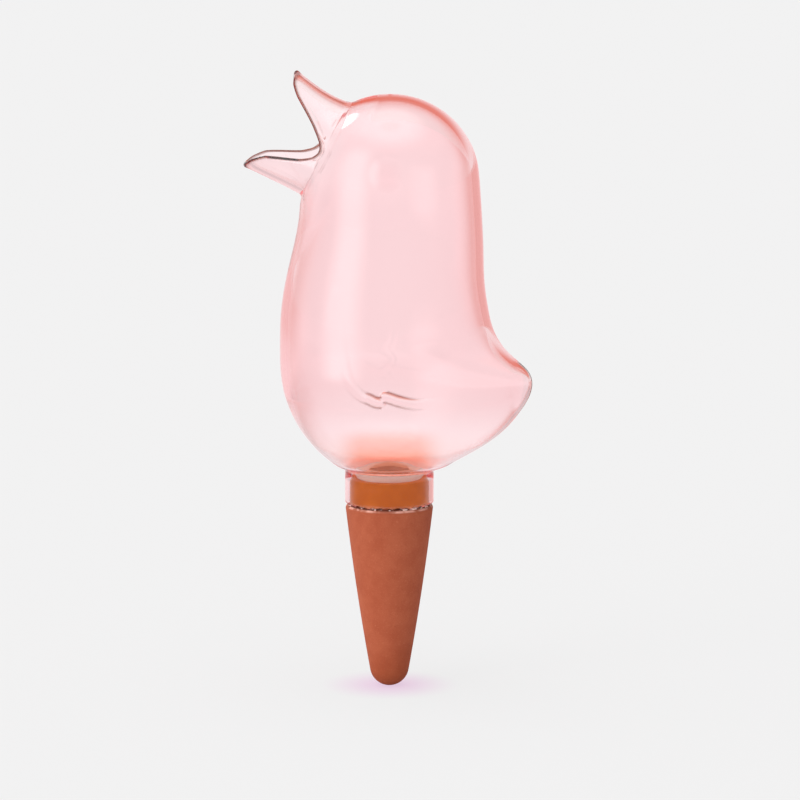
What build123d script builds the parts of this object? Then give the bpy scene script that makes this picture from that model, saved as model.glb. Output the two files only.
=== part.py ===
from build123d import *
import math
import os

# A bird-shaped watering globe of blown glass on a porous clay stake, in millimetres.
# The origin is the tip of the stake, +Z is up, the beak points along -X and the tail along +X.

# Clay stake
stake_height = 49.6
stake_top_radius = 11.8
stake_tip_radius = 5.25
stake_bulge = 0.35
stake_edge_round = 1.0
spigot_radius = 9.2
spigot_lead = 2.2
spigot_edge_round = 0.5
bore_radius = 5.5
bore_end_radius = 2.2
bore_floor_height = 10.0

# Rubber seal between the stake and the neck
seal_flange_thickness = 0.3
seal_grip_length = 6.9
seal_wall = 1.35
seal_edge_round = 0.3
seal_clearance = 0.05

# Neck of the globe
neck_length = 9.1
neck_wall = 1.2

# Bulb: body, head and tail
head_centre_rise = 77.2
head_radius = 23.7
head_top_rise = 23.3
head_setback = 0.3
belly_front_reach = 29.1
belly_half_depth = 27.5
tail_reach = 38.15
bulb_wall = 2.0
tail_narrowing_share = 0.52

# Beak
beak_weld_radius = 13.8
beak_length = 18.0
beak_wall = 1.3
beak_tilt_degrees = 27.2

# Eyes and wings: low glass drops and threads fused on the bulb
eye_radius = 4.9
eye_rise = 0.8
eye_lead = 0.8
eye_lift = 4.5
wing_width = 2.6
wing_rise = 0.6
wing_height = 28.1
wing_length = 30.0
wing_front_reach = 13.1
wing_lowest_rise = 21.0

cut_overrun = 5.0

# Places that follow from the sizes above
seal_bore_radius = spigot_radius + seal_clearance
seal_radius = seal_bore_radius + seal_wall
neck_bore_radius = seal_radius + seal_clearance
neck_radius = neck_bore_radius + neck_wall
seal_flange_radius = neck_radius - neck_wall / 2
rim_height = stake_height + seal_flange_thickness
plug_top_height = rim_height + seal_grip_length
spigot_top_height = plug_top_height + spigot_lead
neck_top_height = rim_height + neck_length
head_centre_height = neck_top_height + head_centre_rise
weld_distance = math.sqrt(head_radius**2 - beak_weld_radius**2)
beak_tilt = math.radians(beak_tilt_degrees)
wing_front = Vector(-wing_front_reach, 0, neck_top_height + wing_lowest_rise)

# One row for each level of the bulb, from the neck up to the middle of the head:
# height between the two, then how far the front, the back and the sides have grown from the neck
# to their full reach, and how much of the tail's narrowing the back has.
bulb_level_shares = [
    (0.000, 0.000, 0.000, 0.000, 0.00),
    (0.010, 0.078, 0.088, 0.093, 0.05),
    (0.031, 0.229, 0.222, 0.252, 0.15),
    (0.066, 0.412, 0.412, 0.457, 0.32),
    (0.109, 0.583, 0.613, 0.642, 0.50),
    (0.154, 0.722, 0.765, 0.789, 0.68),
    (0.206, 0.840, 0.888, 0.898, 0.84),
    (0.242, 0.905, 0.956, 0.949, 0.93),
    (0.284, 0.954, 1.000, 0.974, 1.00),
    (0.319, 0.980, 0.996, 0.987, 1.00),
    (0.350, 0.994, 0.945, 0.997, 0.94),
    (0.381, 1.000, 0.843, 1.000, 0.78),
    (0.416, 1.000, 0.733, 1.000, 0.54),
    (0.448, 1.000, 0.665, 0.997, 0.36),
    (0.492, 0.997, 0.603, 0.987, 0.20),
    (0.556, 0.980, 0.556, 0.962, 0.08),
    (0.661, 0.907, 0.513, 0.904, 0.02),
    (0.764, 0.800, 0.503, 0.834, 0.00),
    (0.868, 0.707, 0.490, 0.776, 0.00),
]
dome_ring_count = 6
ring_point_count = 36

# Beak sections square to its axis: distance along the beak, rise of the middle, height and width.
beak_section_shares = [
    (0.00, 0.000, 1.000, 1.000),
    (0.22, -0.010, 0.985, 0.880),
    (0.55, 0.000, 1.005, 0.755),
    (1.05, 0.060, 1.075, 0.520),
]

# Edges of the two lips, from the corner of the mouth to the tips:
# distance along the beak and rise above its axis.
upper_lip_shares = [
    (0.09, 0.02), (0.145, 0.135), (0.34, 0.35), (0.49, 0.485), (0.74, 0.69), (0.865, 0.85), (0.925, 1.06),
]
lower_lip_shares = [
    (0.09, -0.05), (0.135, -0.17), (0.28, -0.32), (0.56, -0.475), (0.77, -0.60), (0.905, -0.80), (0.968, -0.945),
]

# Middle line of a wing thread: distance behind its front end and height above its lowest point.
wing_route_shares = [
    (0.00, 1.00), (0.01, 0.72), (0.04, 0.44), (0.10, 0.22), (0.20, 0.115),
    (0.34, 0.08), (0.50, 0.07), (0.70, 0.04), (1.00, 0.00),
]
wing_step_count = 24


def grown(share, full):
    """A reach of the bulb that has grown by a share from the neck to its full size."""
    return neck_radius + share * (full - neck_radius)


def bulb_ring(height, centre, front, back, half_depth, narrowing):
    """Points round one level of the bulb: an ellipse whose back half draws in towards the tail."""
    points = []
    for index in range(ring_point_count):
        angle = 2 * math.pi * index / ring_point_count
        reach = back if math.cos(angle) > 0 else front
        side = half_depth * math.sin(angle)
        if math.cos(angle) > 0:
            side *= 1 - narrowing * math.cos(angle) ** 2
        points.append(Vector(centre + reach * math.cos(angle), side, height))
    return points


def bulb_rings():
    """Rings of points from the neck to just under the crown."""
    rings = []
    for rise, front, back, depth, narrowing in bulb_level_shares:
        centre = head_setback * rise
        rings.append(bulb_ring(neck_top_height + head_centre_rise * rise, centre,
                               grown(front, belly_front_reach) + centre, grown(back, tail_reach) - centre,
                               grown(depth, belly_half_depth), tail_narrowing_share * narrowing))
    for index in range(dome_ring_count):
        climb = math.pi / 2 * index / dome_ring_count
        reach = head_radius * math.cos(climb)
        rings.append(bulb_ring(head_centre_height + head_top_rise * math.sin(climb), head_setback,
                               reach, reach, reach, 0))
    return rings


def moved_rings(rings, depth):
    """The rings moved inwards by a depth, square to the bulb's surface."""
    crown = Vector(head_setback, 0, head_centre_height + head_top_rise)
    moved = []
    for level, ring in enumerate(rings):
        above = rings[level + 1] if level + 1 < len(rings) else [crown] * ring_point_count
        below = rings[level - 1] if level > 0 else [point - Vector(0, 0, neck_length) for point in ring]
        new_ring = []
        for index, point in enumerate(ring):
            along = ring[(index + 1) % ring_point_count] - ring[index - 1]
            normal = along.cross(above[index] - below[index])
            if level == 0:
                normal = Vector(normal.X, normal.Y, 0)
            new_ring.append(point - normal.normalized() * depth)
        moved.append(new_ring)
    return moved


def bulb_body(depth):
    """The bulb as a full body, its skin moved inwards by a depth."""
    rings = moved_rings(bulb_rings(), depth)
    wires = [Wire([Edge.make_spline(ring, periodic=True)]) for ring in rings]
    crown = Vertex(head_setback, 0, head_centre_height + head_top_rise - depth)
    return Solid.make_loft(wires + [crown])


def beak_plane(distance):
    """Plane square to the beak's axis: its Y runs along the world's Y, its X up and forwards."""
    axis = Vector(-math.cos(beak_tilt), 0, math.sin(beak_tilt))
    start = Vector(head_setback, 0, head_centre_height) + axis * weld_distance
    return Plane(origin=start + axis * distance, x_dir=(math.sin(beak_tilt), 0, math.cos(beak_tilt)), z_dir=axis)


def beak_body(depth):
    """The beak as a full flared body, its skin moved inwards by a depth."""
    wires = []
    for along, rise, height, width in beak_section_shares:
        plane = beak_plane(beak_length * along)
        section = Ellipse(beak_weld_radius * height - depth, beak_weld_radius * width - depth)
        wires.append((plane * Pos(beak_weld_radius * rise, 0) * section).wire())
    return Solid.make_loft(wires)


def mouth_cutter():
    """Body that parts the lips and cuts their edges, seen from the side."""
    side_plane = Plane(origin=beak_plane(0).origin, x_dir=beak_plane(0).z_dir, z_dir=(0, 1, 0))
    upper = [(beak_length * along, beak_weld_radius * rise) for along, rise in upper_lip_shares]
    lower = [(beak_length * along, beak_weld_radius * rise) for along, rise in lower_lip_shares]
    far = beak_length + cut_overrun
    reach = 2 * beak_weld_radius
    outline = [
        Spline(upper),
        Polyline(upper[-1], (upper[-1][0], reach), (far, reach), (far, -reach), (lower[-1][0], -reach), lower[-1]),
        Spline(lower),
        Line(lower[0], upper[0]),
    ]
    return side_plane * extrude(make_face(outline), amount=reach, both=True)


def make_bulb(outer_body):
    """Blown glass bulb with the beak's opening in the head."""
    inner_body = bulb_body(bulb_wall)
    neck_bore = Pos(0, 0, neck_top_height) * Cylinder(neck_bore_radius, 2 * cut_overrun)
    side = 2 * beak_weld_radius + cut_overrun
    outside = beak_plane(0) * Box(side, side, side, align=(Align.CENTER, Align.CENTER, Align.MIN))
    return outer_body - outside - inner_body - neck_bore


def make_beak():
    """Flared glass beak, welded by its flat end on the head."""
    return beak_body(0) - beak_body(beak_wall) - mouth_cutter()


def make_neck():
    """Glass neck with a fire-polished lower rim."""
    rim_middle = rim_height + neck_wall / 2
    outline = [
        Polyline((neck_radius, 0, rim_middle), (neck_radius, 0, neck_top_height),
                 (neck_bore_radius, 0, neck_top_height), (neck_bore_radius, 0, rim_middle)),
        ThreePointArc((neck_bore_radius, 0, rim_middle), (neck_radius - neck_wall / 2, 0, rim_height),
                      (neck_radius, 0, rim_middle)),
    ]
    return revolve(make_face(outline), Axis.Z)


def make_eye(outer_body, side):
    """Drop of glass fused low on one side of the head."""
    outward = Vector(-eye_lead, side * math.sqrt(head_radius**2 - eye_lead**2 - eye_lift**2), eye_lift)
    rim = math.sqrt(head_radius**2 - eye_radius**2)
    crest = head_radius + eye_rise
    depth = (crest**2 - head_radius**2) / (2 * (crest - rim))
    centre = Vector(head_setback, 0, head_centre_height) + outward.normalized() * depth
    return Pos(centre) * Sphere(crest - depth) - outer_body


def wing_band():
    """Outline of a wing thread seen from the side, as a face in the middle plane of the bird."""
    points = [wing_front + Vector(wing_length * along, 0, wing_height * rise) for along, rise in wing_route_shares]
    route = Edge.make_spline(points)
    edges = []
    for side in (-1, 1):
        border = []
        for step in range(wing_step_count + 1):
            share = step / wing_step_count
            half_width = wing_width / 2 * (1 - abs(2 * share - 1) ** 4)
            tangent = route.tangent_at(share)
            border.append(route.position_at(share) + Vector(-tangent.Z, 0, tangent.X) * half_width * side)
        edges.append(Edge.make_spline(border))
    return Face(Wire(edges))


def make_wing(outer_body, raised_body, side):
    """Thread of glass fused low on one side of the body."""
    band = extrude(wing_band(), amount=belly_half_depth + cut_overrun, dir=(0, side, 0))
    return (band & raised_body) - outer_body


def rounded(face, corners):
    """The face with each listed corner rounded by its radius."""
    for place, radius in corners:
        face = fillet(face.vertices().sort_by_distance(place)[0], radius)
    return face


def make_seal():
    """Rubber sleeve that grips the spigot and the neck, with a flange under the glass rim."""
    face = make_face(Polyline(
        (seal_bore_radius, 0, stake_height), (seal_flange_radius, 0, stake_height), (seal_flange_radius, 0, rim_height),
        (seal_radius, 0, rim_height), (seal_radius, 0, plug_top_height), (seal_bore_radius, 0, plug_top_height),
        close=True))
    return revolve(rounded(face, [((seal_radius, 0, plug_top_height), seal_edge_round)]), Axis.Z)


def make_stake():
    """Hollow porous clay cone with a round tip and a spigot that stands out of the seal."""
    ball = Vector(0, 0, stake_tip_radius)
    shoulder = Vector(stake_top_radius, 0, stake_height)
    slant = shoulder - ball
    taper = math.atan2(slant.X, slant.Z) - math.asin(stake_tip_radius / slant.length)
    ball_end = ball + Vector(math.cos(taper), 0, -math.sin(taper)) * stake_tip_radius
    ball_middle = ball + Vector(math.sin(math.pi / 4), 0, -math.cos(math.pi / 4)) * stake_tip_radius
    side_middle = (ball_end + shoulder) / 2 + Vector(math.cos(taper), 0, -math.sin(taper)) * stake_bulge
    floor_middle = Vector(math.sin(math.pi / 4), 0, 1 - math.cos(math.pi / 4)) * bore_end_radius
    floor = Vector(0, 0, bore_floor_height)
    outline = [
        ThreePointArc((0, 0, 0), ball_middle, ball_end),
        ThreePointArc(ball_end, side_middle, shoulder),
        Polyline(shoulder, (spigot_radius, 0, stake_height), (spigot_radius, 0, spigot_top_height),
                 (bore_radius, 0, spigot_top_height), (bore_radius, 0, stake_height),
                 floor + Vector(bore_end_radius, 0, bore_end_radius)),
        ThreePointArc(floor + Vector(bore_end_radius, 0, bore_end_radius), floor + floor_middle, floor),
        Line(floor, (0, 0, 0)),
    ]
    face = rounded(make_face(outline), [(shoulder, stake_edge_round),
                                        ((spigot_radius, 0, spigot_top_height), spigot_edge_round)])
    return revolve(face, Axis.Z)


outer_body = bulb_body(0)
raised_body = bulb_body(-wing_rise)
pieces = {
    "clay_stake": make_stake(),
    "seal_sleeve": make_seal(),
    "neck": make_neck(),
    "bulb": make_bulb(outer_body),
    "beak": make_beak(),
    "left_eye": make_eye(outer_body, -1),
    "right_eye": make_eye(outer_body, 1),
    "left_wing": make_wing(outer_body, raised_body, -1),
    "right_wing": make_wing(outer_body, raised_body, 1),
}
os.makedirs("parts", exist_ok=True)
for name, piece in pieces.items():
    piece.label = name
    export_step(piece, "parts/" + name + ".step")
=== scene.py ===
import math

import bmesh
import bpy
import numpy as np
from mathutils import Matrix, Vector


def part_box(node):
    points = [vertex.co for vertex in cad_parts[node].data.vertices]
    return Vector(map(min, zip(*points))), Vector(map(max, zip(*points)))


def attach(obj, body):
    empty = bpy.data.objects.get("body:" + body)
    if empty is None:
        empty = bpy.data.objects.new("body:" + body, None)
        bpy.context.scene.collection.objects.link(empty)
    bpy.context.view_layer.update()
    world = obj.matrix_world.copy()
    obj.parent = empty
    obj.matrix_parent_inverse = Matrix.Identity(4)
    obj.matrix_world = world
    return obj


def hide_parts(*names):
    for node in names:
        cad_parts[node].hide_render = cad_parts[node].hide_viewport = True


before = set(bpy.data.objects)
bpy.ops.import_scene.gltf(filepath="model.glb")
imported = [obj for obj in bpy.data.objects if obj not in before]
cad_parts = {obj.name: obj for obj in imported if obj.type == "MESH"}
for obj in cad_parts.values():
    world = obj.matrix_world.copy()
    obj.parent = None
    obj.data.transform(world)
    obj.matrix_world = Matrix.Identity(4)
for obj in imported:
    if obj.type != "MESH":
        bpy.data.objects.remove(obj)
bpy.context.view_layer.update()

# Sizes are in metres. The origin is the tip of the stake, +Z is up and the beak points along -X.
MM = 0.001

# Sizes that the CAD pieces in model.glb give
neck_low, neck_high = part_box("neck")
bulb_low, bulb_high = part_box("bulb")
RIM_HEIGHT = neck_low.z
NECK_TOP = neck_high.z
NECK_RADIUS = neck_high.x
BELLY_FRONT = -bulb_low.x
TAIL_CLEARANCE = 0.2 * MM
TAIL_REACH = bulb_high.x - TAIL_CLEARANCE
BELLY_DEPTH = bulb_high.y
CROWN_HEIGHT = bulb_high.z
SLEEVE_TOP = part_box("seal_sleeve")[1].z

# The clay's spigot, and its shoulder under the seal's flange
SPIGOT_RADIUS = 9.2 * MM
FLANGE_THICKNESS = 0.3 * MM
CLAY_SHOULDER = RIM_HEIGHT - FLANGE_THICKNESS

# Glass sizes of its own
HEAD_RADIUS = 23.7 * MM
HEAD_TOP_RISE = 23.3 * MM
HEAD_SETBACK = 0.3 * MM
BULB_WALL = 2.0 * MM
NECK_WALL = 1.2 * MM
SHOULDER_WALL = 0.7 * MM
TAIL_TIP_LENGTH = 4.0 * MM
TAIL_TIP_WALL_SHARE = 0.6
WELD_THINNING = 6.0 * MM
WELD_WALL_SHARE = 0.6
# Rises above the neck's top at which the wall has the thickness beside them
WALL_RISES = [-2.0 * MM, 1.0 * MM, 7.0 * MM, 20.0 * MM]
WALL_THICKNESSES = [NECK_WALL, SHOULDER_WALL, SHOULDER_WALL, BULB_WALL]
TAIL_NARROWING_SHARE = 0.52
BEAK_WELD_RADIUS = 13.8 * MM
BEAK_LENGTH = 18.0 * MM
BEAK_WALL = 1.3 * MM
BEAK_TILT = math.radians(27.2)
HEAD_HEIGHT = CROWN_HEIGHT - HEAD_TOP_RISE
HEAD_RISE = HEAD_HEIGHT - NECK_TOP
WELD_DISTANCE = math.sqrt(HEAD_RADIUS**2 - BEAK_WELD_RADIUS**2)

# Bulb levels from the neck to the middle of the head: height, then how far the front, the back and
# the sides have grown to their full reach, and how much of the tail's narrowing the back has.
BULB_LEVEL_SHARES = [
    (0.000, 0.000, 0.000, 0.000, 0.00),
    (0.010, 0.078, 0.088, 0.093, 0.05),
    (0.031, 0.229, 0.222, 0.252, 0.15),
    (0.066, 0.412, 0.412, 0.457, 0.32),
    (0.109, 0.583, 0.613, 0.642, 0.50),
    (0.154, 0.722, 0.765, 0.789, 0.68),
    (0.206, 0.840, 0.888, 0.898, 0.84),
    (0.242, 0.905, 0.956, 0.949, 0.93),
    (0.284, 0.954, 1.000, 0.974, 1.00),
    (0.319, 0.980, 0.996, 0.987, 1.00),
    (0.350, 0.994, 0.945, 0.997, 0.94),
    (0.381, 1.000, 0.843, 1.000, 0.78),
    (0.416, 1.000, 0.733, 1.000, 0.54),
    (0.448, 1.000, 0.665, 0.997, 0.36),
    (0.492, 0.997, 0.603, 0.987, 0.20),
    (0.556, 0.980, 0.556, 0.962, 0.08),
    (0.661, 0.907, 0.513, 0.904, 0.02),
    (0.764, 0.800, 0.503, 0.834, 0.00),
    (0.868, 0.707, 0.490, 0.776, 0.00),
]
NECK_LEVEL_DROPS = [6.0 * MM, 4.0 * MM, 2.4 * MM, 1.2 * MM]
DOME_STEP = math.radians(15)
DOME_END = math.radians(120)
LEVEL_STEP = 0.4 * MM
PLACES_PER_LEVEL = 8
SOFTENING = 0.6 * MM
FINE_LEVEL_GAIN = 2.0
FINE_LEVEL_HEIGHT = NECK_TOP + 22.8 * MM
FINE_LEVEL_REACH = 4.0 * MM
COLUMN_COUNT = 480
INNER_STRIDE = 2

# Beak sections square to its axis: distance along the beak, rise of the middle, height and width.
BEAK_SECTION_SHARES = [
    (0.00, 0.000, 1.000, 1.000),
    (0.22, -0.010, 0.985, 0.880),
    (0.55, 0.000, 1.005, 0.755),
    (1.05, 0.060, 1.075, 0.520),
]
# Edge of the mouth from the lower lip's tip to the upper lip's tip:
# rise above the beak's axis and distance along it.
MOUTH_EDGE_SHARES = [
    (-1.02, 0.985), (-0.955, 0.970), (-0.80, 0.91), (-0.60, 0.77), (-0.475, 0.56), (-0.32, 0.28),
    (-0.17, 0.135), (-0.05, 0.09), (0.02, 0.09), (0.135, 0.145), (0.35, 0.34), (0.485, 0.49),
    (0.69, 0.74), (0.85, 0.865), (1.06, 0.925), (1.15, 0.935),
]
BEAK_COLUMN_COUNT = 240
BEAK_STEP_COUNT = 44
MOUTH_ROUND_COUNT = 60
MOUTH_SMOOTHING_COUNT = 4

# The neck's rim, a little uneven, with patches of painted shade on its lower edge
RIM_STEP_COUNT = 8
RIM_UNEVENNESS = 0.45 * MM
NECK_RING_COUNT = 10
INNER_RIM_RISES = [0.3 * MM, 0.8 * MM, 1.6 * MM]

# The weld between the bulb and the beak, with a low bead and broken borders of painted shade
WELD_REACH = 0.9 * MM
INNER_CUT_SHARE = 2.2
WELD_BEAD = 0.1 * MM
WELD_STEP_COUNT = 16
WELD_SHADE = 0.35
WELD_BORDER_SHARES = (0.1, 0.9)
WELD_BORDER_WIDTH_SHARE = 0.1
HOLE_TOLERANCE = 0.08 * MM
CUT_TOLERANCE = 1e-7

# Waves round a ring: a base level, then each wave's strength, count and turn
RIM_WAVES = (0.5, [(0.25, 13, 0.4), (0.25, 31, 0.0)])
RIM_SHADE = (0.2, [(1.0, 5, 2.2), (0.6, 14, 0.0)])
WELD_UNEVENNESS = (0.6, [(0.25, 5, 0.7), (0.15, 11, 2.1)])
WELD_BREAKS = (0.0, [(1.0, 7, 1.0), (0.7, 17, 2.0)])

# Round edge of the lips: its radius along the mouth and at the two tips
LIP_RADIUS = 0.52 * MM
TIP_RADIUS = 0.8 * MM
TIP_REACH = 2.5 * MM
LIP_BLEND = 1.0 * MM
SLANT_STEP = 0.1 * MM

# Dark line of painted shade along the back of the upper lip
RIDGE_PLACE = math.radians(15)
RIDGE_REACH = math.radians(2.2)
RIDGE_SHADE = 0.8

# Eyes and wings: low drops and threads of glass on both sides
EYE_RADIUS = 4.9 * MM
EYE_RISE = 0.6 * MM
EYE_PLACE = Vector((-0.5 * MM, 0, HEAD_HEIGHT + 4.5 * MM))
WING_WIDTH = 2.85 * MM
WING_RISE = 0.5 * MM
RIGHT_SIDE_SHARE = 0.3
LOWER_EDGE_SHARE = 0.8
# Widths and strengths of the painted shade lines along the lips and both edges of the wing threads
SHADE_LINE_REACH = 0.34 * MM
WING_SHADE_REACH = 0.32 * MM
WING_SHADE_GAIN = 1.5
WING_SHADE_CUT = 0.4
WING_CORNER = Vector((-13.1 * MM, 0, NECK_TOP + 21.0 * MM))
WING_LENGTH = 30.0 * MM
WING_HEIGHT = 28.1 * MM
STROKE_PLACE_COUNT = 200
# Middle lines of the two strokes of a wing thread: distance behind its front end, height above its
# lowest point, and how far it stands out.
WING_STROKE_SHARES = [
    [(0.00, 1.00, 0.05), (0.01, 0.72, 0.12), (0.04, 0.445, 0.18), (0.097, 0.22, 0.28),
     (0.193, 0.107, 0.50), (0.253, 0.082, 0.90), (0.313, 0.053, 1.00), (0.367, 0.046, 1.00)],
    [(0.40, 0.103, 1.00), (0.463, 0.082, 1.00), (0.523, 0.06, 0.95), (0.653, 0.028, 0.55),
     (0.793, 0.021, 0.20), (0.993, 0.004, 0.05)],
]


def curve_through(knots, values, places):
    """Values of the smooth curve through the knots, at the given places (natural cubic spline)."""
    knots, values = np.asarray(knots, float), np.asarray(values, float)
    gaps = np.diff(knots)
    slopes = np.diff(values) / gaps
    matrix = np.eye(len(knots))
    right = np.zeros(len(knots))
    for i in range(1, len(knots) - 1):
        matrix[i, i - 1 : i + 2] = gaps[i - 1], 2 * (gaps[i - 1] + gaps[i]), gaps[i]
        right[i] = 6 * (slopes[i] - slopes[i - 1])
    bends = np.linalg.solve(matrix, right)
    places = np.asarray(places, float)
    i = np.clip(np.searchsorted(knots, places) - 1, 0, len(gaps) - 1)
    after, before = places - knots[i], knots[i + 1] - places
    return (
        (bends[i] * before**3 + bends[i + 1] * after**3) / (6 * gaps[i])
        + (values[i] / gaps[i] - bends[i] * gaps[i] / 6) * before
        + (values[i + 1] / gaps[i] - bends[i + 1] * gaps[i] / 6) * after
    )


def softened(values, step, reach):
    """The values with their corners rounded over a reach, by a bell curve that ends at three reaches."""
    span = int(3 * reach / step)
    weights = np.exp(-0.5 * (np.arange(-span, span + 1) * step / reach) ** 2)
    padded = np.concatenate([np.full(span, values[0]), values, np.full(span, values[-1])])
    return np.convolve(padded, weights / weights.sum(), mode="valid")


def waves_round(angles, waves):
    """Level at each angle round a ring: a base level with waves on it."""
    level, parts = waves
    for strength, count, turn in parts:
        level = level + strength * np.sin(count * angles + turn)
    return level


def grown(share, full):
    """A reach of the bulb that has grown by a share from the neck to its full size."""
    return NECK_RADIUS + share * (full - NECK_RADIUS)


def bulb_levels():
    """Levels of the bulb from inside the neck to the crown:
    height, centre, front, back, depth and narrowing."""
    rows = [(NECK_TOP - drop, 0, NECK_RADIUS, NECK_RADIUS, NECK_RADIUS, 0) for drop in NECK_LEVEL_DROPS]
    for rise, front, back, depth, narrowing in BULB_LEVEL_SHARES:
        centre = HEAD_SETBACK * rise
        front_reach = grown(front, BELLY_FRONT) + centre
        back_reach = grown(back, TAIL_REACH) - centre
        rows.append((NECK_TOP + HEAD_RISE * rise, centre, front_reach, back_reach,
                     grown(depth, BELLY_DEPTH), TAIL_NARROWING_SHARE * narrowing))
    for climb in np.arange(0, DOME_END + DOME_STEP / 2, DOME_STEP):
        reach = HEAD_RADIUS * math.cos(climb)
        rows.append((HEAD_HEIGHT + HEAD_TOP_RISE * math.sin(climb), HEAD_SETBACK, reach, reach, reach, 0))
    rows = np.array(rows)
    steps = np.hypot(np.diff(rows[:, 0]), np.diff((rows[:, 2] + rows[:, 4]) / 2))
    lengths = np.concatenate([[0], np.cumsum(steps)])
    crown = lengths[-1] - HEAD_RADIUS * (DOME_END - math.pi / 2)
    fine = LEVEL_STEP / PLACES_PER_LEVEL
    places = np.arange(0, lengths[-1], fine)
    columns = [softened(curve_through(lengths, column, places), fine, SOFTENING) for column in rows.T]
    heights = np.interp(places, lengths, rows[:, 0])
    closeness = 1 + FINE_LEVEL_GAIN * np.exp(-(((heights - FINE_LEVEL_HEIGHT) / FINE_LEVEL_REACH) ** 4))
    counted = np.cumsum(closeness) * fine / LEVEL_STEP
    level_total = np.interp(crown, places, counted)
    wanted = np.linspace(counted[0], level_total, round(level_total) + 1)[:-1]
    chosen = np.interp(wanted, counted, places)
    return np.stack([np.interp(chosen, places, column) for column in columns], axis=1)


def bulb_skin():
    """Grid of points on the bulb's outer skin: levels by columns by three."""
    levels = bulb_levels()
    angles = np.linspace(0, 2 * math.pi, COLUMN_COUNT, endpoint=False)
    height, centre, front, back, depth, narrowing = (levels[:, i : i + 1] for i in range(6))
    cosine, sine = np.cos(angles)[None, :], np.sin(angles)[None, :]
    behind = np.clip(cosine, 0, None)
    x = centre + np.where(cosine > 0, back, front) * cosine
    y = depth * sine * (1 - narrowing * behind**2)
    return np.stack([x, y, np.broadcast_to(height, x.shape)], axis=2)


def grid_normals(grid, crown):
    """Outward normals of a grid whose columns close up and whose last level lies round a crown."""
    above = np.concatenate([grid[1:], np.broadcast_to(crown, grid[:1].shape)])
    below = np.concatenate([grid[:1] - [0, 0, LEVEL_STEP], grid[:-1]])
    along = np.roll(grid, -1, axis=1) - np.roll(grid, 1, axis=1)
    normals = np.cross(along, above - below)
    return normals / np.linalg.norm(normals, axis=2, keepdims=True)


def wing_stroke(rows, places):
    """Points of a wing stroke's middle line as seen from the side, and how far it stands out there."""
    knots = np.linspace(0, 1, len(rows))
    along, rise, standing = (curve_through(knots, [row[i] for row in rows], places) for i in range(3))
    line = np.stack([WING_CORNER.x + WING_LENGTH * along, WING_CORNER.z + WING_HEIGHT * rise], axis=1)
    return line, np.clip(standing, 0, 1)


def near_wings(points):
    """Which points lie near a wing thread as seen from the side."""
    return (np.abs(points[:, 2] - WING_CORNER.z - WING_HEIGHT / 2) < WING_HEIGHT / 2 + WING_WIDTH) & (
        np.abs(points[:, 0] - WING_CORNER.x - WING_LENGTH / 2) < WING_LENGTH / 2 + WING_WIDTH)


def stroke_places(points):
    """For each wing stroke: how far points are from its middle line, how far it stands out there,
    and which points are above it and between its ends."""
    spots = points[:, [0, 2]]
    for rows in WING_STROKE_SHARES:
        line, standing = wing_stroke(rows, np.linspace(0, 1, STROKE_PLACE_COUNT))
        distances = np.linalg.norm(spots[:, None, :] - line[None, :, :], axis=2)
        nearest = distances.argmin(axis=1)
        inside = (nearest > 0) & (nearest < len(line) - 1)
        yield distances.min(axis=1), standing[nearest], spots[:, 1] > line[nearest, 1], inside


def relief(grid):
    """How far the eyes and the wings stand out of the skin at each point of the grid."""
    flat = grid.reshape(-1, 3)
    stands = np.zeros(len(flat))
    eye_distance = np.hypot(flat[:, 0] - EYE_PLACE.x, flat[:, 2] - EYE_PLACE.z) / EYE_RADIUS
    on_eye = eye_distance < 1
    stands[on_eye] = EYE_RISE * (1 - eye_distance[on_eye] ** 2) ** 1.5
    near = near_wings(flat)
    for apart, standing, _above, _inside in stroke_places(flat[near]):
        across = np.clip(apart / (WING_WIDTH / 2), 0, 1)
        stands[near] = np.maximum(stands[near], WING_RISE * standing * (1 - across**2) ** 0.75)
    stands[flat[:, 1] > 0] *= RIGHT_SIDE_SHARE
    return stands.reshape(grid.shape[:2])


def wing_shade_lines(points):
    """Dark lines of painted shade along both edges of the wing threads."""
    painted_shades = np.zeros(len(points))
    near = near_wings(points)
    for apart, standing, above, inside in stroke_places(points[near]):
        line = np.exp(-(((apart - WING_WIDTH / 2) / WING_SHADE_REACH) ** 2)) * inside
        line *= np.clip(WING_SHADE_GAIN * standing - WING_SHADE_CUT, 0, 1)
        painted_shades[near] = np.maximum(painted_shades[near], line * np.where(above, 1, LOWER_EDGE_SHARE))
    painted_shades[points[:, 1] > 0] = 0
    return painted_shades


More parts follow.
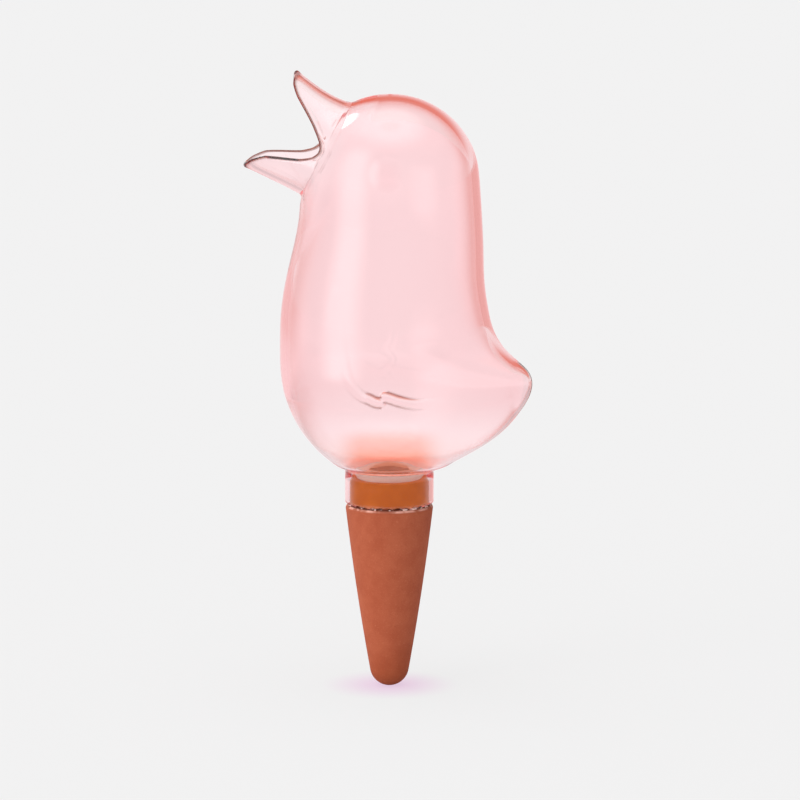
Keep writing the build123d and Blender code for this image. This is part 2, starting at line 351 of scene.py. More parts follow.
class Sheet:
    """Points and faces that are gathered into one closed mesh."""

    def __init__(self):
        self.points = []
        self.faces = []
        self.painted_shades = []

    def add_points(self, points, painted_shade=0.0):
        """Adds points with their share of the glass's painted shade and returns their numbers."""
        first = len(self.points)
        self.points.extend(np.asarray(points).reshape(-1, 3).tolist())
        numbers = np.arange(first, len(self.points))
        self.painted_shades.extend(np.broadcast_to(painted_shade, len(numbers)).tolist())
        return numbers

    def join_loops(self, one, two):
        """Quads between two closed loops with as many points each."""
        following_one, following_two = np.roll(one, -1), np.roll(two, -1)
        self.faces.extend(np.stack([one, following_one, following_two, two], axis=1).tolist())

    def join_uneven_loops(self, one, one_angles, two, two_angles):
        """Triangles between two closed loops, stepping along whichever is behind in angle."""
        i = j = 0
        while i < len(one) or j < len(two):
            next_one = one_angles[i + 1] if i + 1 < len(one) else one_angles[0] + 2 * math.pi
            next_two = two_angles[j + 1] if j + 1 < len(two) else two_angles[0] + 2 * math.pi
            here_one, here_two = one[i % len(one)], two[j % len(two)]
            if j >= len(two) or (i < len(one) and next_one <= next_two):
                self.faces.append([here_one, one[(i + 1) % len(one)], here_two])
                i += 1
            else:
                self.faces.append([here_one, two[(j + 1) % len(two)], here_two])
                j += 1

    def make(self, name):
        """The mesh object, with outward faces and smooth shading."""
        mesh = bpy.data.meshes.new(name)
        mesh.from_pydata(self.points, [], self.faces)
        piece = bpy.data.objects.new(name, mesh)
        bpy.context.scene.collection.objects.link(piece)
        shape = bmesh.new()
        shape.from_mesh(mesh)
        bmesh.ops.recalc_face_normals(shape, faces=shape.faces)
        shape.to_mesh(mesh)
        shape.free()
        mesh.attributes.new("painted_shade", "FLOAT", "POINT").data.foreach_set("value", self.painted_shades)
        mesh.shade_smooth()
        return piece


# The beak's own axes: along it, and upwards square to it
beak_axis = np.array([-math.cos(BEAK_TILT), 0, math.sin(BEAK_TILT)])
beak_up = np.array([math.sin(BEAK_TILT), 0, math.cos(BEAK_TILT)])
beak_side = np.array([0.0, 1.0, 0.0])
weld_centre = np.array([HEAD_SETBACK, 0, HEAD_HEIGHT]) + WELD_DISTANCE * beak_axis


def beak_section(distance):
    """Rise, half height and half width of the beak's outer skin at distances along it."""
    shares, *sizes = np.array(BEAK_SECTION_SHARES).T
    return [curve_through(BEAK_LENGTH * shares, BEAK_WELD_RADIUS * size, distance) for size in sizes]


def beak_points(angles, distance, depth):
    """Points of the beak's skin, moved inwards by a depth."""
    rise, half_height, half_width = beak_section(distance)
    up = rise + (half_height - depth) * np.cos(angles)
    side = (half_width - depth) * np.sin(angles)
    return (weld_centre + np.multiply.outer(distance, beak_axis)
            + np.multiply.outer(up, beak_up) + np.multiply.outer(side, beak_side))


def mouth_edge(angles, depth):
    """Distance along the beak at which each column meets the edge of the mouth."""
    distance = np.full(len(angles), BEAK_LENGTH / 2)
    rises = [BEAK_WELD_RADIUS * row[0] for row in MOUTH_EDGE_SHARES]
    reaches = [BEAK_LENGTH * row[1] for row in MOUTH_EDGE_SHARES]
    for _ in range(MOUTH_ROUND_COUNT):
        rise, half_height, _width = beak_section(distance)
        up = rise + (half_height - depth) * np.cos(angles)
        distance = 0.5 * distance + 0.5 * np.interp(up, rises, reaches)
    reach = MOUTH_SMOOTHING_COUNT
    closed = np.concatenate([distance[-reach:], distance, distance[:reach]])
    span = 2 * reach + 1
    return 0.5 * distance + 0.5 * np.convolve(closed, np.full(span, 1 / span), mode="valid")


def hole_corners(shape):
    """Corners on the open edge across the beak, in the order of their angle round it."""
    lowest = HEAD_HEIGHT - HEAD_RADIUS / 2
    corners = {v for e in shape.edges if e.is_boundary for v in e.verts if v.co.z > lowest}
    return sorted(corners, key=lambda v: loop_angle(np.array(v.co)) % (2 * math.pi))


def opened_skin(grid, crown, cut_distance):
    """Faces of a bulb skin with the head cut open across the beak, and the hole's loop with its angles."""
    sheet = Sheet()
    numbers = sheet.add_points(grid).reshape(grid.shape[:2])
    for level in range(len(grid) - 1):
        sheet.join_loops(numbers[level], numbers[level + 1])
    top = sheet.add_points([crown])[0]
    for one, two in zip(numbers[-1], np.roll(numbers[-1], -1)):
        sheet.faces.append([one, two, top])
    shape = bmesh.new()
    corners = [shape.verts.new(point) for point in sheet.points]
    for face in sheet.faces:
        shape.faces.new([corners[i] for i in face])
    shape.normal_update()
    everything = shape.verts[:] + shape.edges[:] + shape.faces[:]
    bmesh.ops.bisect_plane(shape, geom=everything, dist=CUT_TOLERANCE, plane_no=beak_axis,
                           plane_co=weld_centre + cut_distance * beak_axis, clear_outer=True)
    bmesh.ops.remove_doubles(shape, verts=hole_corners(shape), dist=HOLE_TOLERANCE)
    shape.verts.index_update()
    shape.normal_update()
    hole = hole_corners(shape)
    points = [list(v.co) for v in shape.verts]
    faces = [[v.index for v in face.verts] for face in shape.faces]
    loop = np.array([v.index for v in hole])
    normals = np.array([list(v.normal) for v in hole])
    shape.free()
    return points, faces, loop, normals


def loop_angle(point):
    """Angle of a point round the beak's axis, from the top."""
    arm = np.asarray(point) - weld_centre
    return math.atan2(arm @ beak_side, arm @ beak_up)


def glass_wall(skin):
    """Thickness of the glass at each point of the bulb, thinner at the shoulder, tail tip and weld."""
    wall = np.interp(skin[:, :1, 2], [NECK_TOP + rise for rise in WALL_RISES], WALL_THICKNESSES)
    tail = [TAIL_REACH - TAIL_TIP_LENGTH, TAIL_REACH]
    wall = wall * np.interp(skin[:, :, 0], tail, [1, TAIL_TIP_WALL_SHARE])
    return wall * np.interp((skin - weld_centre) @ beak_axis, [-WELD_THINNING, 0], [1, WELD_WALL_SHARE])


def glass_globe():
    """The blown glass bird with its neck, beak, eyes and wings as one piece of glass."""
    skin = bulb_skin()
    crown = np.array([HEAD_SETBACK, 0, CROWN_HEIGHT])
    normals = grid_normals(skin, crown)
    outer = skin + normals * relief(skin)[..., None]
    inner = (skin - normals * glass_wall(skin)[..., None])[::INNER_STRIDE, ::INNER_STRIDE]
    glass = Sheet()
    holes = []
    for grid, depth, cut in ((outer, 0, -WELD_REACH), (inner, BULB_WALL, -INNER_CUT_SHARE * WELD_REACH)):
        points, faces, loop, loop_normals = opened_skin(grid, crown - [0, 0, depth], cut)
        points = np.array(points)
        numbers = glass.add_points(points, wing_shade_lines(points) if depth == 0 else 0)
        glass.faces.extend([[int(numbers[i]) for i in face] for face in faces])
        holes.append((numbers[loop], points[loop], loop_normals))
        bottom = numbers[: grid.shape[1]]
        if depth == 0:
            outer_bottom = bottom
        else:
            inner_bottom = bottom
    add_neck(glass, outer_bottom, inner_bottom)
    add_beak(glass, holes)
    return glass.make("glass_globe")


def add_neck(glass, outer_bottom, inner_bottom):
    """The neck's straight walls and its rounded rim, down from the lowest levels."""
    angles = np.linspace(0, 2 * math.pi, COLUMN_COUNT, endpoint=False)
    last = outer_bottom
    start = glass.points[int(outer_bottom[0])][2]
    rim_radius = NECK_WALL / 2
    heights = np.linspace(start, RIM_HEIGHT + rim_radius, NECK_RING_COUNT)[1:]
    outline = [(NECK_RADIUS, height) for height in heights]
    for turn in np.linspace(0, math.pi, RIM_STEP_COUNT + 1)[1:]:
        outline.append((NECK_RADIUS - rim_radius + rim_radius * math.cos(turn),
                        RIM_HEIGHT + rim_radius - rim_radius * math.sin(turn)))
    for rise in INNER_RIM_RISES:
        outline.append((NECK_RADIUS - NECK_WALL, RIM_HEIGHT + rim_radius + rise))
    waves = RIM_UNEVENNESS * waves_round(angles, RIM_WAVES)
    # Patches of painted shade on the rim's lower half, where the gap under it lies in shadow
    rim_shade = np.clip(waves_round(angles, RIM_SHADE), 0, 1)
    for radius, height in outline:
        share = max(0, 1 - (height - RIM_HEIGHT) / rim_radius)
        ring = np.stack([radius * np.cos(angles), radius * np.sin(angles), height + share * waves], axis=1)
        numbers = glass.add_points(ring, rim_shade * share)
        glass.join_loops(numbers, last)
        last = numbers
    bore = np.array(glass.points)[inner_bottom]
    inner_angles = np.arctan2(bore[:, 1], bore[:, 0]) % (2 * math.pi)
    glass.join_uneven_loops(last, angles, inner_bottom, inner_angles)


def lip_radius(edge):
    """Radius of the round edge at points of the mouth, swelling towards the two tips."""
    to_upper_tip = np.linalg.norm(edge - edge[0], axis=1)
    to_lower_tip = np.linalg.norm(edge - edge[len(edge) // 2], axis=1)
    reach = np.minimum(to_upper_tip, to_lower_tip)
    return LIP_RADIUS + (TIP_RADIUS - LIP_RADIUS) * np.exp(-((reach / TIP_REACH) ** 2))


def unit(vectors):
    """The vectors at length one."""
    return vectors / np.linalg.norm(vectors, axis=1, keepdims=True)


def lip_frame(angles):
    """The round edge of the lips: its middle line, radius, and directions outwards and forwards."""
    depth = BEAK_WALL / 2
    distance = mouth_edge(angles, depth)
    edge = beak_points(angles, distance, depth)
    radius = lip_radius(edge)[:, None]
    tangent = unit(np.roll(edge, -1, axis=0) - np.roll(edge, 1, axis=0))
    ahead = beak_points(angles, distance + SLANT_STEP, depth)
    behind = beak_points(angles, distance - SLANT_STEP, depth)
    outward = unit(np.cross(tangent, ahead - behind))
    away = (edge - weld_centre) - np.outer((edge - weld_centre) @ beak_axis, beak_axis)
    outward *= np.sign((outward * away).sum(axis=1, keepdims=True))
    forward = np.cross(outward, tangent)
    forward *= np.sign(forward @ beak_axis)[:, None]
    return edge - radius * forward, radius, outward, forward


def angle_shift(angles, middle):
    """How far each column turns round the beak to meet the lips' middle line."""
    local = middle - weld_centre
    rise, half_height, half_width = beak_section(local @ beak_axis)
    side = (local @ beak_side) / (half_width - BEAK_WALL / 2)
    up = (local @ beak_up - rise) / (half_height - BEAK_WALL / 2)
    return (np.arctan2(side, up) - angles + math.pi) % (2 * math.pi) - math.pi


def weld_rings(angles, hole, loop_angles, join_distance, depth, outwards):
    """Rings from the bulb's hole to the beak's skin, with their painted shade."""
    _loop, loop_points, loop_normals = hole
    around = np.concatenate([loop_angles - 2 * math.pi, loop_angles, loop_angles + 2 * math.pi])
    start, lean = (np.stack([np.interp(angles, around, np.tile(values[:, i], 3)) for i in range(3)], axis=1)
                   for values in (loop_points, loop_normals))
    radial = np.outer(np.cos(angles), beak_up) + np.outer(np.sin(angles), beak_side)
    leave = -unit(np.cross(np.cross(lean, radial), lean))
    landing = beak_points(angles, join_distance, depth)
    arrive = unit(beak_points(angles, join_distance + SLANT_STEP, depth) - landing)
    gap = np.linalg.norm(landing - start, axis=1, keepdims=True)
    uneven = waves_round(angles, WELD_UNEVENNESS)[:, None]
    broken = np.clip(waves_round(angles, WELD_BREAKS), 0, 1) * np.sin(angles) ** 2
    rings = []
    painted_shades = []
    for t in np.linspace(0, 1, WELD_STEP_COUNT + 1)[1:]:
        ring = ((2 * t**3 - 3 * t**2 + 1) * start + (t**3 - 2 * t**2 + t) * gap * leave
                + (3 * t**2 - 2 * t**3) * landing + (t**3 - t**2) * gap * arrive)
        bead = WELD_BEAD * math.sin(math.pi * t) ** 2 * uneven
        rings.append(ring + radial * bead if outwards > 0 else ring)
        borders = [math.exp(-(((t - share) / WELD_BORDER_WIDTH_SHARE) ** 2)) for share in WELD_BORDER_SHARES]
        painted_shades.append(WELD_SHADE * max(borders) * broken)
    return rings, painted_shades


def lip_rings(angles, middle, radius, outward, join_distance, depth, outwards):
    """Rings of the beak's skin from the weld to the lips' round edge, with their painted shade."""
    shift = angle_shift(angles, middle)
    end_distance = (middle - weld_centre) @ beak_axis
    off_ridge = (angles + RIDGE_PLACE + math.pi) % (2 * math.pi) - math.pi
    ridge = RIDGE_SHADE * np.exp(-((off_ridge / RIDGE_REACH) ** 2))
    rings = []
    painted_shades = []
    closeness = []
    for t in np.linspace(0, 1, BEAK_STEP_COUNT + 1)[1:]:
        ring = beak_points(angles + t * shift, join_distance + t * (end_distance - join_distance), depth)
        target = middle + outwards * BEAK_WALL / 2 * outward
        apart = np.linalg.norm(ring - target, axis=1, keepdims=True)
        near = np.exp(-((apart / LIP_BLEND) ** 2))
        closeness.append(near * t**2)
        rings.append(ring + outwards * (radius - BEAK_WALL / 2) * near * outward)
        line = np.exp(-((apart[:, 0] / SHADE_LINE_REACH) ** 2))
        painted_shades.append(np.maximum(ridge, line) if outwards > 0 else line)
    miss = (middle + outwards * radius * outward - rings[-1]) / closeness[-1]
    return [ring + share * miss for ring, share in zip(rings, closeness)], painted_shades


def add_beak(glass, holes):
    """The beak's two skins from the weld to the lips, and the round edge that joins them."""
    angles = np.linspace(0, 2 * math.pi, BEAK_COLUMN_COUNT, endpoint=False)
    middle, radius, outward, forward = lip_frame(angles)
    join_distance = np.minimum(WELD_REACH, 0.5 * ((middle - weld_centre) @ beak_axis))
    ends = []
    for hole, depth, outwards in ((holes[0], 0, 1), (holes[1], BEAK_WALL, -1)):
        loop_angles = np.array([loop_angle(point) % (2 * math.pi) for point in hole[1]])
        rings, painted_shades = weld_rings(angles, hole, loop_angles, join_distance, depth, outwards)
        more, more_painted_shades = lip_rings(angles, middle, radius, outward, join_distance, depth, outwards)
        numbers = [glass.add_points(ring, painted_shade) for ring, painted_shade in zip(rings + more, painted_shades + more_painted_shades)]
        glass.join_uneven_loops(hole[0], loop_angles, numbers[0], angles)
        for one, two in zip(numbers[:-1], numbers[1:]):
            glass.join_loops(one, two)
        ends.append(numbers[-1])
    last = ends[0]
    for turn in np.linspace(0, math.pi, RIM_STEP_COUNT + 1)[1:-1]:
        ring = middle + radius * (math.cos(turn) * outward + math.sin(turn) * forward)
        # The lips' round edge is wholly covered in painted shade
        numbers = glass.add_points(ring, 1.0)
        glass.join_loops(last, numbers)
        last = numbers
    glass.join_loops(last, ends[1])


def new_material(name):
    """A node material and its empty tree, with an output node."""
    material = bpy.data.materials.new(name)
    material.use_nodes = True
    tree = material.node_tree
    tree.nodes.clear()
    return material, tree, tree.nodes.new("ShaderNodeOutputMaterial")


def add_math(tree, operation, one, two=0.0, clamp=False):
    """Output of a math node on two sockets or numbers."""
    node = tree.nodes.new("ShaderNodeMath")
    node.operation = operation
    node.use_clamp = clamp
    for socket, value in zip(node.inputs, (one, two)):
        if isinstance(value, bpy.types.NodeSocket):
            tree.links.new(value, socket)
        else:
            socket.default_value = value
    return node.outputs[0]


def add_product(tree, *values):
    """Product of several sockets or numbers."""
    product = values[0]
    for value in values[1:]:
        product = add_math(tree, "MULTIPLY", product, value)
    return product


def add_parts(tree, place):
    """The three parts of a place or direction."""
    split = tree.nodes.new("ShaderNodeSeparateXYZ")
    tree.links.new(place, split.inputs[0])
    return split.outputs


def add_step(tree, value, start, end, low=0.0, high=1.0):
    """A value that passes smoothly from low to high between two limits."""
    node = tree.nodes.new("ShaderNodeMapRange")
    node.interpolation_type = "SMOOTHSTEP"
    tree.links.new(value, node.inputs["Value"])
    for name, number in (("From Min", start), ("From Max", end), ("To Min", low), ("To Max", high)):
        node.inputs[name].default_value = number
    return node.outputs["Result"]


def add_noise(tree, place, scale, detail=3.0, roughness=0.55):
    """Grey noise of a given scale at a place."""
    noise = tree.nodes.new("ShaderNodeTexNoise")
    tree.links.new(place, noise.inputs["Vector"])
    noise.inputs["Scale"].default_value = scale
    noise.inputs["Detail"].default_value = detail
    noise.inputs["Roughness"].default_value = roughness
    return noise.outputs["Fac"]


def add_radius_and_height(tree, place):
    """Distance of a place from the upright axis, and its height."""
    x, y, z = add_parts(tree, place)
    square = add_math(tree, "ADD", add_product(tree, x, x), add_product(tree, y, y))
    return add_math(tree, "SQRT", square), z


def add_mix(tree, factor, one, two):
    """Colour between two colours or sockets."""
    mix = tree.nodes.new("ShaderNodeMix")
    mix.data_type = "RGBA"
    tree.links.new(factor, mix.inputs["Factor"])
    for socket, value in zip((mix.inputs[6], mix.inputs[7]), (one, two)):
        if isinstance(value, bpy.types.NodeSocket):
            tree.links.new(value, socket)
        else:
            socket.default_value = value + (1,)
    return mix.outputs[2]


def add_bump(tree, height, strength, distance):
    """Normal that follows a height."""
    bump = tree.nodes.new("ShaderNodeBump")
    bump.inputs["Strength"].default_value = strength
    bump.inputs["Distance"].default_value = distance
    tree.links.new(height, bump.inputs["Height"])
    return bump.outputs["Normal"]


# Glass colours, and the limits between which the painted warm light of the amber seal fades in and out above
# the neck
CLEAR_COLOUR = (1.0, 1.0, 1.0)
AMBER_LIGHT_COLOUR = (0.93, 0.38, 0.25)
COLLAR_LIGHT_COLOUR = (0.90, 0.22, 0.10)
# Dark brown of the painted shade lines at the rim, the weld, the lips and the wing threads
PAINTED_SHADE_COLOUR = (0.22, 0.055, 0.03)
ABSORPTION_COLOUR = (1.0, 0.0, 0.05, 1.0)
ABSORPTION_DENSITY = 72
GLASS_IOR = 1.47
AMBER_LIGHT_START = (NECK_TOP - 2.5 * MM, NECK_TOP - 1.5 * MM)
AMBER_LIGHT_END = (NECK_TOP + 11 * MM, NECK_TOP + 6 * MM)
AMBER_LIGHT_RADIUS = (NECK_RADIUS + 16 * MM, NECK_RADIUS + 2 * MM)
AMBER_LIGHT_FAR_SIDE = (-3 * MM, 5 * MM)
AMBER_LIGHT_WIDTH = (16 * MM, 7 * MM)
AMBER_LIGHT_WIDTH_SHARES = (0.2, 1.0)
COLLAR_HEIGHT = (NECK_TOP + 1.2 * MM, NECK_TOP + 0.4 * MM)


def glass_material():
    """Clear glass, pale pink through its thickness, with painted warm light of the amber seal above the neck
    and painted dark shade lines.
    """
    material, tree, output = new_material("pink_glass")
    shader = tree.nodes.new("ShaderNodeBsdfPrincipled")
    painted_shade = tree.nodes.new("ShaderNodeAttribute")
    painted_shade.attribute_name = "painted_shade"
    place = tree.nodes.new("ShaderNodeTexCoord").outputs["Object"]
    radius, height = add_radius_and_height(tree, place)
    x, y, _z = add_parts(tree, place)
    amber_light = add_product(
        tree,
        add_step(tree, height, *AMBER_LIGHT_START),
        add_step(tree, radius, *AMBER_LIGHT_RADIUS),
        add_step(tree, y, *AMBER_LIGHT_FAR_SIDE),
        add_step(tree, add_math(tree, "ABSOLUTE", x), *AMBER_LIGHT_WIDTH, *AMBER_LIGHT_WIDTH_SHARES),
        add_step(tree, height, *AMBER_LIGHT_END),
    )
    # Painted light: the amber seal's warm glow painted into the far side of the glass above the neck
    colour = add_mix(tree, amber_light, CLEAR_COLOUR, AMBER_LIGHT_COLOUR)
    collar_light = add_product(tree, amber_light, add_step(tree, height, *COLLAR_HEIGHT))
    colour = add_mix(tree, collar_light, colour, COLLAR_LIGHT_COLOUR)
    colour = add_mix(tree, painted_shade.outputs["Fac"], colour, PAINTED_SHADE_COLOUR)
    tree.links.new(colour, shader.inputs["Base Color"])
    shader.inputs["Roughness"].default_value = 0.0
    shader.inputs["IOR"].default_value = GLASS_IOR
    shader.inputs["Transmission Weight"].default_value = 1.0
    tree.links.new(shader.outputs["BSDF"], output.inputs["Surface"])
    absorption = tree.nodes.new("ShaderNodeVolumeAbsorption")
    absorption.inputs["Color"].default_value = ABSORPTION_COLOUR
    absorption.inputs["Density"].default_value = ABSORPTION_DENSITY
    tree.links.new(absorption.outputs["Volume"], output.inputs["Volume"])
    return material


# Terracotta colours, and the limits between which each of its marks fades in and out
CLAY_COLOURS = ((0.335, 0.072, 0.031), (0.385, 0.094, 0.043))
PALE_GRAIN_COLOUR = (0.52, 0.175, 0.095)
DARK_GRAIN_COLOUR = (0.17, 0.033, 0.014)
TIP_COLOUR = (0.25, 0.045, 0.012)
PALE_EDGE_COLOUR = (1.0, 0.80, 0.68)
SHOULDER_HIGHLIGHT_COLOUR = (0.95, 0.52, 0.42)
SPIGOT_LIGHT_COLOUR = (1.0, 0.46, 0.28)
BLOTCH_LIMITS = (0.30, 0.74)
PALE_GRAIN_LIMITS = (0.56, 0.74, 0.0, 0.5)
DARK_GRAIN_LIMITS = (0.42, 0.28, 0.0, 0.45)
SHOULDER_HIGHLIGHT_LIMITS = (0.38, 0.62, 0.1, 0.75)
TIP_HEIGHT = (16 * MM, 0.0, 0.0, 0.5)
PALE_EDGE_HEIGHT = (SLEEVE_TOP - 0.5 * MM, SLEEVE_TOP)
PALE_EDGE_RADIUS = (SPIGOT_RADIUS - 0.9 * MM, SPIGOT_RADIUS - 0.2 * MM)
SHOULDER_HIGHLIGHT_START = (CLAY_SHOULDER - 0.8 * MM, CLAY_SHOULDER - 0.3 * MM)
SHOULDER_HIGHLIGHT_END = (CLAY_SHOULDER + 0.3 * MM, CLAY_SHOULDER + 0.1 * MM)
SPIGOT_LIGHT_HEIGHT = (SLEEVE_TOP - 8 * MM, SLEEVE_TOP)
SPIGOT_LIGHT_RADIUS = (SPIGOT_RADIUS - 0.5 * MM, SPIGOT_RADIUS - 1.0 * MM)
THROWING_STRETCH = (0.15, 0.15, 1.0)
BUMP_DEPTH = 0.2 * MM


def clay_material():
    """Matt terracotta with a fine grain and faint throwing lines, paler round the spigot's top edge, with a
    painted highlight on the shoulder's edge and painted light on the spigot's top and bore.
    """
    material, tree, output = new_material("terracotta")
    shader = tree.nodes.new("ShaderNodeBsdfPrincipled")
    place = tree.nodes.new("ShaderNodeTexCoord").outputs["Object"]
    grain = add_noise(tree, place, scale=2600, detail=4.0, roughness=0.7)
    blotches = add_noise(tree, place, scale=170, detail=3.0, roughness=0.6)
    stretched = tree.nodes.new("ShaderNodeMapping")
    stretched.inputs["Scale"].default_value = THROWING_STRETCH
    tree.links.new(place, stretched.inputs["Vector"])
    rings = add_noise(tree, stretched.outputs["Vector"], scale=900, detail=2.0, roughness=0.5)
    colour = add_mix(tree, add_step(tree, blotches, *BLOTCH_LIMITS), *CLAY_COLOURS)
    colour = add_mix(tree, add_step(tree, grain, *PALE_GRAIN_LIMITS), colour, PALE_GRAIN_COLOUR)
    colour = add_mix(tree, add_step(tree, grain, *DARK_GRAIN_LIMITS), colour, DARK_GRAIN_COLOUR)
    radius, height = add_radius_and_height(tree, place)
    colour = add_mix(tree, add_step(tree, height, *TIP_HEIGHT), colour, TIP_COLOUR)
    # Paler ring round the spigot's top edge
    pale_edge = add_product(tree, add_step(tree, height, *PALE_EDGE_HEIGHT), add_step(tree, radius, *PALE_EDGE_RADIUS))
    colour = add_mix(tree, pale_edge, colour, PALE_EDGE_COLOUR)
    # Painted highlight: a patchy pale line along the top edge of the clay's shoulder
    patches = add_noise(tree, place, scale=420, detail=2.0, roughness=0.5)
    shoulder_highlight = add_product(tree, add_step(tree, height, *SHOULDER_HIGHLIGHT_START), add_step(tree, height, *SHOULDER_HIGHLIGHT_END),
                       add_step(tree, patches, *SHOULDER_HIGHLIGHT_LIMITS))
    colour = add_mix(tree, shoulder_highlight, colour, SHOULDER_HIGHLIGHT_COLOUR)
    # Painted light: the spigot's top face and bore painted bright orange, fading down the bore
    spigot_light = add_product(tree, add_step(tree, height, *SPIGOT_LIGHT_HEIGHT), add_step(tree, radius, *SPIGOT_LIGHT_RADIUS))
    colour = add_mix(tree, spigot_light, colour, SPIGOT_LIGHT_COLOUR)
    tree.links.new(colour, shader.inputs["Base Color"])
    shader.inputs["Roughness"].default_value = 0.92
    shader.inputs["Specular IOR Level"].default_value = 0.25
    relief_height = add_math(tree, "ADD", add_product(tree, grain, 0.6), add_product(tree, rings, 0.7))
    tree.links.new(add_bump(tree, relief_height, 0.35, BUMP_DEPTH), shader.inputs["Normal"])
    tree.links.new(shader.outputs["BSDF"], output.inputs["Surface"])
    return material


# Rubber colours, and the limits between which each of its marks fades in
RUBBER_COLOURS = ((0.80, 0.20, 0.008), (0.86, 0.23, 0.012))
JOINT_SHADE_COLOUR = (0.12, 0.025, 0.010)
JOINT_SPARKLE_COLOUR = (0.95, 0.66, 0.58)
FLOW_LIMITS = (0.35, 0.7)
JOINT_SPARKLE_LIMITS = (0.50, 0.60)
JOINT_HEIGHT = (RIM_HEIGHT + 0.5 * MM, RIM_HEIGHT + 0.1 * MM)


def rubber_material():
    """Amber silicone rubber with faint flow marks, with painted shade and painted pale sparkles in the joint
    under the glass.
    """
    material, tree, output = new_material("amber_rubber")
    shader = tree.nodes.new("ShaderNodeBsdfPrincipled")
    place = tree.nodes.new("ShaderNodeTexCoord").outputs["Object"]
    marks = add_noise(tree, place, scale=260, detail=2.0, roughness=0.5)
    colour = add_mix(tree, add_step(tree, marks, *FLOW_LIMITS), *RUBBER_COLOURS)
    _radius, height = add_radius_and_height(tree, place)
    # Painted shade in the joint under the glass rim, broken by painted pale sparkles
    sparkle_noise = add_noise(tree, place, scale=380, detail=2.0, roughness=0.7)
    joint_shade_and_sparkle = add_mix(tree, add_step(tree, sparkle_noise, *JOINT_SPARKLE_LIMITS), JOINT_SHADE_COLOUR, JOINT_SPARKLE_COLOUR)
    colour = add_mix(tree, add_step(tree, height, *JOINT_HEIGHT), colour, joint_shade_and_sparkle)
    tree.links.new(colour, shader.inputs["Base Color"])
    shader.inputs["Roughness"].default_value = 0.5
    shader.inputs["Specular IOR Level"].default_value = 0.15
    tree.links.new(add_bump(tree, marks, 0.15, BUMP_DEPTH), shader.inputs["Normal"])
    tree.links.new(shader.outputs["BSDF"], output.inputs["Surface"])
    return material


# Studio: a pale sweep of paper, with a tall soft window to the left and a warm dim room behind.
# Glass meets a dim stretch of floor in front, which neither the camera nor matt pieces do.
PAPER = 0.888
FLOOR_PAPER = (0.856, 0.856, 0.856)
FLOOR_DIFFUSE = (0.78, 0.78, 0.79, 1.0)
FLOOR_GLOW_SHARE = 0.88
FLOOR_REACH = 12.0
BACKDROP_ROOM = (0.74, 0.24, 0.17)
FLOOR_ROOM = (0.79, 0.47, 0.43)
PLAIN_LIGHT = (1.0, 1.0, 1.0)
CEILING_LEVEL = 1.6
WINDOW_LEVEL = 2.35
HORIZON_LEVEL = 0.93
LAMP_DIRECTION = (-0.53, 0.51, 0.678)
LAMP_LEVEL = 9.0
FRONT_LEVEL = 1.04
FLOOR_WINDOW = (3.3, 3.3, 3.3)
INNER_WINDOW_SHARE = 0.4
SEEN_FLOOR = (1.0, 0.92, 0.94)
# FLOOR_SHADE is a painted violet shadow on the floor under the stake's tip
FLOOR_SHADE = (0.83, 0.64, 0.79)
NEAR_FLOOR = (0.18, 0.14, 0.14)

# Limits between which the parts of the floor fade in or out: turns in radians, distances in metres
WINDOW_LEFT_TURN = (-1.40, -0.95)
WINDOW_RIGHT_TURN = (-0.36, -0.80)
ROOM_START_TURN = (0.09, 0.30)
ROOM_END_TURN = (1.2, 0.8)
LEFT_START_TURN = (-0.08, -0.30)
LEFT_END_TURN = (-1.4, -1.0)
LEFT_DISTANCE = (0.50, 0.85, 0.2, 0.6)
ROOM_DISTANCE = (0.15, 0.30)
DIM_DEPTH = (0.28, 0.02)
DIM_FAR_DISTANCE = (1.20, 0.35)
DIM_NEAR_DISTANCE = (0.03, 0.26)
WINDOW_DISTANCE = (0.30, 0.55)
SHADE_DISTANCE = (0.020, 0.002)

# Limits between which the parts of the world fade in or out, along a direction of length one
WINDOW_RISE = (0.85, 0.55)
SIDE_LEVELS = (-0.9, 0.9, 1.5, 0.4)
HORIZON_RISE = (0.0, 0.4)
CEILING_RISE = (0.75, 1.0)
LAMP_SPREAD = (0.978, 0.998)
BACK_DEPTH = (0.25, 0.6)
BACK_LEFT = (-0.75, -0.1)
BACK_TOP = (0.75, 0.45)
BACK_BOTTOM = (0.02, 0.34)
BACK_RIGHT_LEVELS = (0.0, 0.5, 1.0, 0.88)

CAMERA_PLACE = (2.85 * MM, -1300 * MM, 290 * MM)
CAMERA_TILT = math.radians(90 - 9.277)
CAMERA_LENS = 222.24
CAMERA_SENSOR = 36.0
BOUNCE_COUNT = 64


def add_window(tree, x, y):
    """How far a direction or a place lies towards the window, in front to the left."""
    turn = add_math(tree, "ARCTAN2", x, add_math(tree, "MULTIPLY", y, -1.0))
    left = add_step(tree, turn, *WINDOW_LEFT_TURN)
    return add_product(tree, left, add_step(tree, turn, *WINDOW_RIGHT_TURN))


def add_mirrored(tree, path, share):
    """A factor that is 1 for light that isn't seen through glass and a share for light that is."""
    return add_step(tree, path.outputs["Is Transmission Ray"], 0.0, 1.0, 1.0, share)


